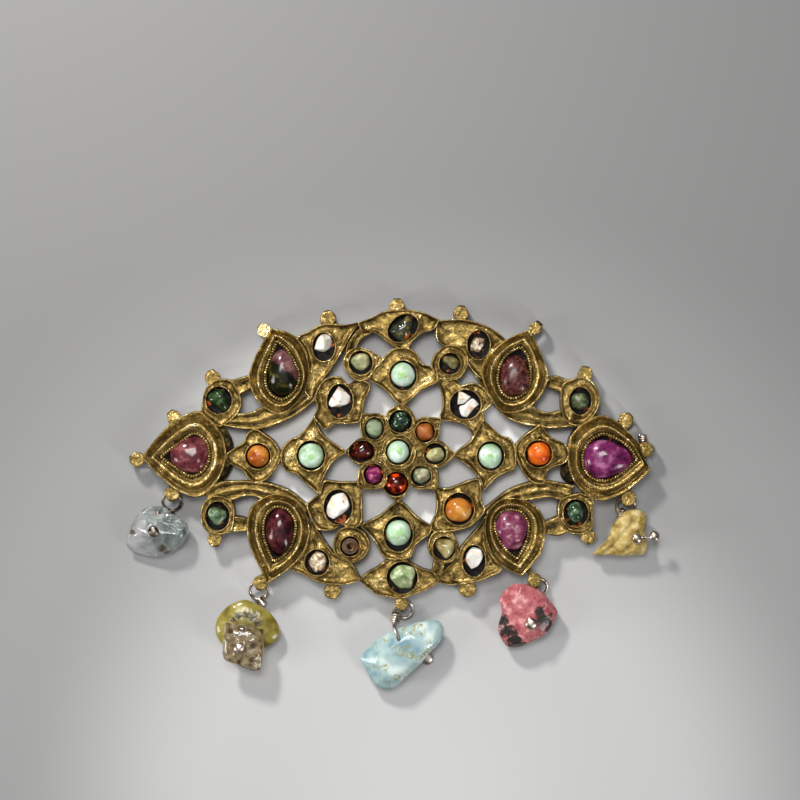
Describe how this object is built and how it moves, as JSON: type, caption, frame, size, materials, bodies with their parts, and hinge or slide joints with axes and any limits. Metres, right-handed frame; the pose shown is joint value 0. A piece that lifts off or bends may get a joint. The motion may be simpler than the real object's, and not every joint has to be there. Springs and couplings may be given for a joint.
{
  "type": "inlaid brooch",
  "caption": "Openwork gilt brooch of soldered cells with inlaid domed stones, strap loops round its edge and stone-bead pendants on silver wire.",
  "frame": {"origin": "middle of the flat back, on the surface that the brooch lies on", "axes": "+Z out of the face, +X to the right of the face as seen, +Y to its top edge"},
  "size_m": [0.1228, 0.0899, 0.0095],
  "materials": {
    "gilt": "aged gilt sheet over resin, worn bright on the ridges",
    "silver_wire": "tarnished silver wire",
    "pale_turquoise": "polished dome, cloudy",
    "coral": "polished orange coral or carnelian",
    "white_shell": "worn white shell or paste",
    "green_stone": "waxy green stone",
    "pale_green_stone": "dull pale green stone",
    "red_garnet": "polished deep red garnet",
    "purple_garnet": "polished translucent purple-pink stone",
    "grey_green_glass": "dark grey-green glassy dome",
    "brown_stone": "brown-white glossy stone",
    "rock_crystal": "clear tumbled crystal with brown inclusions",
    "yellow_green_quartz": "translucent yellow-green tumbled stone",
    "grey_quartz": "clear grey-brown faceted stone",
    "aquamarine": "pale blue tumbled stone with white and rusty veins",
    "rhodonite": "polished pink stone with black veins",
    "yellow_stone": "yellow two-lobed translucent bead"
  },
  "bodies": {
    "root": {"bead_aqua": "aquamarine", "bead_grey_quartz": "grey_quartz", "bead_rhodonite": "rhodonite", "bead_rock_crystal": "rock_crystal", "bead_twisted": "yellow_stone", "bead_yellow_green": "yellow_green_quartz", "gilt_openwork": "gilt", "stone_bottom": "pale_green_stone", "stone_centre": "pale_turquoise", "stone_coral_left": "coral", "stone_coral_right": "coral", "stone_corner_lower_left": "white_shell", "stone_corner_lower_right": "coral", "stone_corner_upper_left": "white_shell", "stone_corner_upper_right_a": "white_shell", "stone_corner_upper_right_b": "white_shell", "stone_drop_left": "purple_garnet", "stone_drop_lower_left": "purple_garnet", "stone_drop_lower_right": "purple_garnet", "stone_drop_right": "purple_garnet", "stone_drop_upper_left": "purple_garnet", "stone_drop_upper_right": "purple_garnet", "stone_end_lower_left": "green_stone", "stone_end_lower_right": "green_stone", "stone_end_upper_left": "green_stone", "stone_end_upper_right": "green_stone", "stone_leaf_lower_left": "white_shell", "stone_leaf_lower_right": "white_shell", "stone_leaf_upper_left": "white_shell", "stone_leaf_upper_right": "brown_stone", "stone_petal_bottom": "red_garnet", "stone_petal_left": "red_garnet", "stone_petal_lower_left": "red_garnet", "stone_petal_lower_right": "pale_green_stone", "stone_petal_right": "pale_green_stone", "stone_petal_top": "green_stone", "stone_petal_upper_left": "pale_green_stone", "stone_petal_upper_right": "coral", "stone_ring_lower_left": "brown_stone", "stone_ring_lower_right": "pale_green_stone", "stone_ring_upper_left": "pale_green_stone", "stone_ring_upper_right": "pale_green_stone", "stone_star_bottom": "pale_turquoise", "stone_star_left": "pale_turquoise", "stone_star_right": "pale_turquoise", "stone_star_top": "pale_turquoise", "stone_top": "grey_green_glass", "wire_aqua": "silver_wire", "wire_double": "silver_wire", "wire_rhodonite": "silver_wire", "wire_rock_crystal": "silver_wire", "wire_stub": "silver_wire", "wire_twisted": "silver_wire"}
  },
  "joints": []
}
